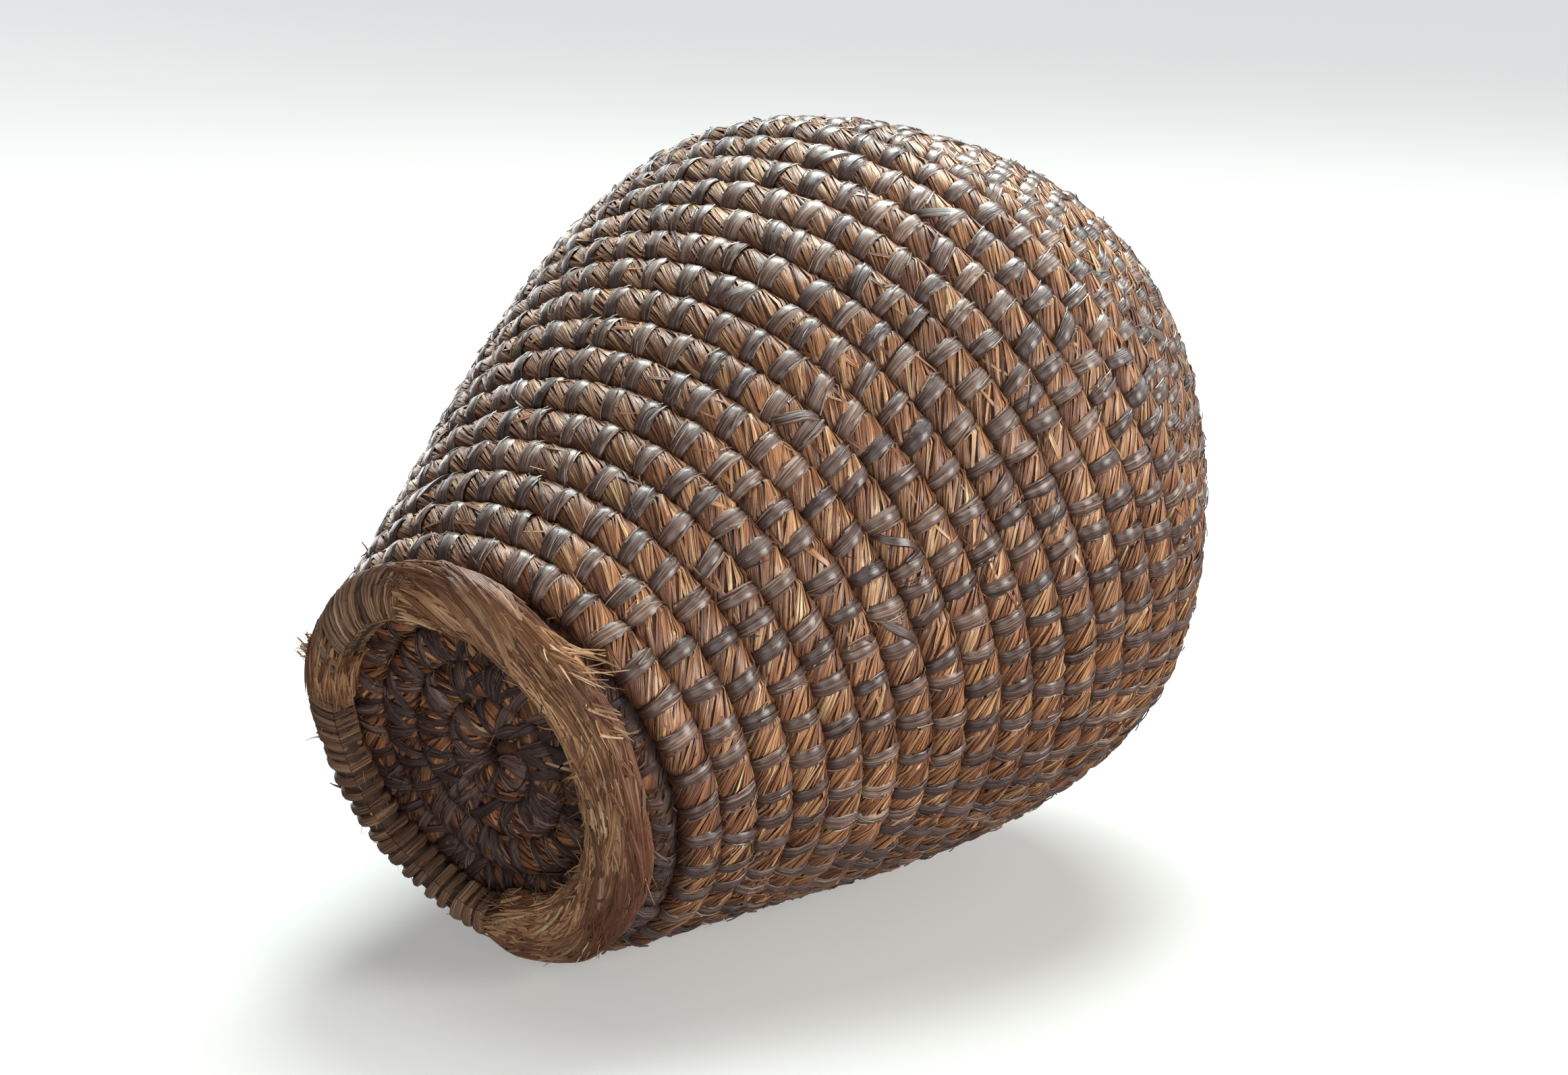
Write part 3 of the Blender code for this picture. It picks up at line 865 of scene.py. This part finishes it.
def ring_strays(name, count, angles, around_middle, around_spread, lengths, material, outward_share):
    """Broken ends that stand off the ring, mostly along its run."""
    angle = draw.uniform(*angles, count)
    around = draw.normal(around_middle, around_spread, count)
    roots = on_ring(angle, around, np.full(count, -0.0001))
    out = on_ring(angle, around, np.full(count, 0.002)) - roots
    along = on_ring(angle + 0.03, around, np.full(count, -0.0001)) - roots
    ways = along * draw.choice([-1, 1, 1], count)[:, None]
    ways = ways + out * draw.uniform(0.0, 1.0, (count, 1)) ** 2 * outward_share
    bends = draw.normal(0, 0.25, (count, 3))
    return frayed_piece(name, roots, ways, draw.uniform(*lengths, count),
                        draw.uniform(0.00012, 0.0004, count), bends, material)


for side_name, count, *form in (
    # place round the bundle, its spread, lengths, material, how far outward
    ("inside", 420, math.pi + 0.4, 0.5, (0.003, 0.009), ring_straw, 1.0),
    ("outside", 260, -0.2, 0.5, (0.003, 0.009), ring_straw, 0.5),
    ("face", 260, -math.pi / 2, 0.6, (0.003, 0.008), ring_straw, 0.25),
):
    dressed(ring_strays(f"foot_ring_frayed_{side_name}", count, bare_arc, *form), "ring_straw")


def tuft(name, root, tip, count, spread, lengths, widths, material):
    """Some loose straws that lean out of the ring together, from about one place."""
    root, tip = np.array(root), np.array(tip)
    roots = root + draw.normal(0, 1, (count, 3)) * np.array(spread)
    ways = tip - root + draw.normal(0, 0.3, (count, 3)) * np.linalg.norm(tip - root)
    return frayed_piece(name, roots, ways, draw.uniform(*lengths, count), draw.uniform(*widths, count),
                        draw.normal(0, 0.16, (count, 3)), material, draw.uniform(0.4, 1.0, count))


for kind, slot, *form in (
    # root, tip, count, spread of the roots, lengths, half widths, material
    ("tuft_outside", "ring_straw", (-0.0135, -0.0763, 0.008), (0.0078, -0.0902, 0.012), 34,
     (0.007, 0.0015, 0.003), (0.009, 0.018), (0.0003, 0.0009), ring_straw),
    ("tuft_end", "ring_straw", (0.0091, -0.0744, 0.006), (0.022, -0.078, 0.01), 18,
     (0.004, 0.0015, 0.002), (0.006, 0.013), (0.0003, 0.0008), ring_straw),
    ("loose_inside", "ring_straw", (0.0194, -0.052, 0.003), (0.0171, -0.0227, 0.003), 5,
     (0.004, 0.001, 0.001), (0.008, 0.015), (0.0007, 0.0013), ring_straw),
    ("tuft_left", "ring_straw", (-0.0695, 0.0288, 0.008), (-0.082, 0.034, 0.007), 80,
     (0.0012, 0.0025, 0.002), (0.003, 0.0055), (0.0003, 0.0006), ring_straw),
    ("strip_stub", "fine_strip", (-0.0233, 0.064, 0.006), (-0.028, 0.073, 0.005), 3,
     (0.002, 0.001, 0.001), (0.004, 0.007), (0.0008, 0.0012), sewing_strip),
    ("strip_end", "fine_strip", (-0.0427, 0.0561, 0.006), (-0.05, 0.063, 0.005), 3,
     (0.002, 0.001, 0.001), (0.004, 0.007), (0.0008, 0.0012), sewing_strip),
):
    dressed(tuft(f"foot_ring_{kind}", *form), slot)

# The bindings of the foot ring: the fine one is a narrow strip wound closely, with dark gaps between
# its turns, and the broad one is wider, lies open and shows its fibres. Their ends are tucked under.
ring_strip = fibre_material(
    "ring_strip",
    ((0.0, (0.06, 0.028, 0.018)), (0.35, (0.225, 0.12, 0.066)), (0.7, (0.45, 0.265, 0.15)),
     (1.0, (0.66, 0.46, 0.29))),
    dirt_and_shade=(0.07, 0.034, 0.025), dirt_amount=0.6, rough=(0.4, 0.65), bump=1.0, streaks=1900,
    stretch=0.02, streak_share=0.7, tone_share=0.6)
wrap_from, wrap_reach = -2.2, 0.995
fine_end = math.radians(124)
last_from, last_to = math.radians(37), math.radians(44)


def ring_wraps(name, start, end, turns, material, cover, puff, lean_share, strands, tone_range):
    """Strip wound round and round the ring's bundle, split lengthwise into strands."""
    x, y, z = strap_points.T
    pitch = (end - start) / turns
    count = turns * strands
    middle = np.repeat(start + pitch * (np.arange(turns) + 0.5 + draw.normal(0, 0.07, turns)), strands)
    middle = middle + np.tile((np.arange(strands) + 0.5) / strands - 0.5, turns) * pitch * cover
    middle = middle + draw.normal(0, 0.03, count) * pitch
    widths = pitch * cover / strands / 2 * draw.uniform(1.0, 1.6, count)
    around = wrap_from + (x + 1) * math.pi * wrap_reach
    around = around[None, :] + 0 * middle[:, None]
    leans = np.repeat(draw.uniform(0.5, 1.1, turns), strands) + draw.normal(0, 0.15, count)
    lean_angle = pitch * lean_share * leans
    angle = middle[:, None] + y * widths[:, None] + np.sin(around + 1.2) * lean_angle[:, None] * 0.5
    ridge = draw.uniform(-0.0002, 0.00025, (count, 3))
    side = np.round(y * 1.2).astype(int) + 1
    top = np.where(z > 0.1, puff * z + ridge[:, side], np.where(z < -0.1, -0.0003, 0.0001))
    lift = -0.0003 + top + draw.normal(0, 0.0002, (count, 1))
    points = on_ring(angle, around, lift)
    uv = scattered_map((x + 1) * 0.03, y * widths[:, None] * ring_mean_radius)
    tone = np.repeat(draw.uniform(*tone_range, turns), strands) + draw.normal(0, 0.15, count)
    tone = np.clip(tone, 0, 1)
    # Painted shade: the strands darken along their edges, in the gaps between turns; they are also darker on
    # the ring's outer side.
    painted_shade = np.where(np.abs(y) > 0.9, 0.35, 0.0) + np.clip(np.cos(around), 0, 1) ** 4 * 0.45
    return mesh_piece(name, points, strap_faces, material, uv, tone, painted_shade, strip_edge_angle, count)


for kind, slot, stood_in, *form in (
    # start, end, turns, material, cover, puff, lean, strands, tones
    # The fine wraps get lower tones than the others: painted shade for that stretch of the ring.
    ("fine", "fine_strip", ["foot_ring_fine_binding"],
     fine_from, fine_end, 15, ring_strip, 0.62, 0.0021, 0.6, 1, (0.1, 0.55)),
    ("narrow", "fine_strip", [], fine_end, fine_to, 10, ring_strip, 0.66, 0.0012, 0.5, 1, (0.2, 0.6)),
    ("last", "fine_strip", [], last_from, last_to, 2, ring_strip, 0.22, 0.0014, 0.5, 1, (0.8, 1.0)),
    ("broad", "broad_strip", ["foot_ring_broad_binding"],
     broad_from, broad_to, 5, ring_strip, 0.93, 0.0012, 1.1, 13, (0.1, 0.45)),
):
    dressed(ring_wraps(f"foot_ring_{kind}_wraps", *form), slot, *stood_in)
binding_fibres = ring_strays(
    "foot_ring_binding_fibres", 200, (fine_from, broad_to), around_middle=-1.2, around_spread=1.2,
    lengths=(0.002, 0.006), material=ring_strip, outward_share=0.3)
dressed(binding_fibres, "broad_strip")

# The table is plain and pale. The basket stands on a level floor, seen from above. From below that
# floor is clear, and a second, tilted floor shows, on which the basket lies as in the photograph.
# Far away both take the colour of the room, so no edge is seen.
photo_up = Vector((-0.7585, -0.5811, 0.2936)).normalized()
floor_size = 12
floor_colour = (0.5, 0.495, 0.48, 1)
floor_roughness = 0.9
floor_glow = (0.95, 0.95, 0.93, 1)
glow_strength = 0.3
fade_from, fade_to = 0.7, 2.6
room_colour = (0.9, 0.91, 0.93)
room_brightness = 0.8


def stage_floor(name, centre, normal, tilted):
    """A wide floor for the camera alone; the tilted one shows where the level one is seen from below."""
    bpy.ops.object.select_all(action="DESELECT")
    bpy.ops.mesh.primitive_plane_add(size=floor_size)
    floor = bpy.context.active_object
    floor.name = name
    floor.data.transform(Matrix.Translation(centre) @ normal.to_track_quat("Z", "Y").to_matrix().to_4x4())
    material = bpy.data.materials.new(name)
    material.use_nodes = True
    tree = material.node_tree
    shader = tree.nodes["Principled BSDF"]
    shader.inputs["Base Color"].default_value = floor_colour
    shader.inputs["Roughness"].default_value = floor_roughness
    shader.inputs["Emission Color"].default_value = floor_glow
    shader.inputs["Emission Strength"].default_value = glow_strength
    path = node(tree, "ShaderNodeLightPath")
    geometry = node(tree, "ShaderNodeNewGeometry")
    if tilted:
        through = maths(tree, "GREATER_THAN", path.outputs["Transparent Depth"], 0.5)
        place = node(tree, "ShaderNodeSeparateXYZ", i0=geometry.outputs["Position"])
        below = maths(tree, "LESS_THAN", place.outputs["Z"], 0.0)
        shown = maths(tree, "MAXIMUM", through, below)
    else:
        shown = maths(tree, "SUBTRACT", 1.0, geometry.outputs["Backfacing"])
    seen = maths(tree, "MULTIPLY", shown, path.outputs["Is Camera Ray"])
    away = node(tree, "ShaderNodeVectorMath", "LENGTH", i0=geometry.outputs["Position"])
    fade = node(tree, "ShaderNodeMapRange", From_Min=fade_from, From_Max=fade_to, Value=away.outputs["Value"])
    fade.interpolation_type = "SMOOTHSTEP"
    far = node(tree, "ShaderNodeEmission", Color=(*(part * room_brightness for part in room_colour), 1.0))
    paint = node(tree, "ShaderNodeMixShader", i0=fade.outputs["Result"], i1=shader.outputs[0],
                 i2=far.outputs[0])
    clear = node(tree, "ShaderNodeBsdfTransparent")
    mix = node(tree, "ShaderNodeMixShader", i0=seen, i1=clear.outputs[0], i2=paint.outputs[0])
    tree.links.new(mix.outputs[0], tree.nodes["Material Output"].inputs["Surface"])
    floor.data.materials.append(material)


lowest = min(
    float((np.array([v.co for v in o.data.vertices]) @ np.array(photo_up)).min())
    for o in bpy.data.objects if o.type == "MESH" and o.name.endswith(("_bundle", "_core")))
stage_floor("level_floor", Vector((0, 0, 0)), Vector((0, 0, 1)), tilted=False)
stage_floor("tilted_floor", photo_up * lowest, photo_up, tilted=True)

# The light is soft, as in a studio: a wide fill from the camera's side, lamps from the top and the
# right of the photograph, one behind its top that draws glints on the strips, and weaker ones from
# the rear and from above, in a pale room.
photo_right = Vector((0.6215, -0.512, 0.5925)).normalized()
photo_top = Vector((-0.7829, -0.4057, 0.4709)).normalized()
photo_back = photo_right.cross(photo_top).normalized()
look_at = Vector((0, 0, 0.16))
room_glow = 0.18


def lamp(name, way, distance, size, power, colour):
    """A round soft lamp that faces the basket from one way."""
    light = bpy.data.lights.new(name, "AREA")
    light.shape = "DISK"
    light.size = size
    light.energy = power
    light.color = colour
    made = bpy.data.objects.new(name, light)
    bpy.context.scene.collection.objects.link(made)
    place = look_at + way.normalized() * distance
    turn = way.normalized().to_track_quat("Z", "Y").to_matrix().to_4x4()
    made.matrix_world = Matrix.Translation(place) @ turn
    made.visible_camera = False


lamp("window", photo_top * 0.93 - photo_right * 0.1 + photo_back * 0.12, 1.6, 0.9, 12, (0.93, 1.0, 0.98))
lamp("behind", photo_top * 0.93 + photo_right * 0.15 - photo_back * 0.33, 1.6, 1.1, 50, (0.89, 1.0, 0.97))
lamp("side", photo_right + photo_back * 0.5 + photo_top * 0.15, 2.5, 1.2, 66, (1.0, 0.98, 0.93))
lamp("fill", photo_back + photo_right * 0.2 - photo_top * 0.35, 2.2, 2.0, 28, (1.0, 0.98, 0.95))
lamp("rear", Vector((-0.6, 0.8, 0.45)), 2.2, 1.4, 16, (1.0, 0.99, 0.97))
lamp("sky", Vector((0.25, -0.35, 1.0)), 1.8, 1.4, 7, (0.97, 0.98, 1.0))
world = bpy.data.worlds.new("pale_room")
world.use_nodes = True
room = world.node_tree
backdrop = room.nodes["Background"]
room_path = node(room, "ShaderNodeLightPath")
room_light = node(room, "ShaderNodeMapRange", To_Min=room_glow, To_Max=room_brightness,
                  Value=room_path.outputs["Is Camera Ray"])
room.links.new(room_light.outputs["Result"], backdrop.inputs["Strength"])
backdrop.inputs["Color"].default_value = (*room_colour, 1.0)
bpy.context.scene.world = world
bpy.context.scene.view_settings.view_transform = "Standard"

# The camera has a long lens and looks at the foot from slightly below the plane of the base, as the
# photograph does, so the basket is seen lying on its side.
camera_place = (0, -1.486, -1.100)
sensor_width, focal_length = 36, 123.9
camera = bpy.data.objects.new("camera", bpy.data.cameras.new("camera"))
camera.data.sensor_width = sensor_width
camera.data.lens = focal_length
camera.data.clip_start = 0.01
bpy.context.scene.collection.objects.link(camera)
camera_turn = Matrix((photo_right, photo_top, photo_back)).transposed().to_4x4()
camera.matrix_world = Matrix.Translation(camera_place) @ camera_turn
bpy.context.scene.camera = camera

bpy.context.view_layer.update()
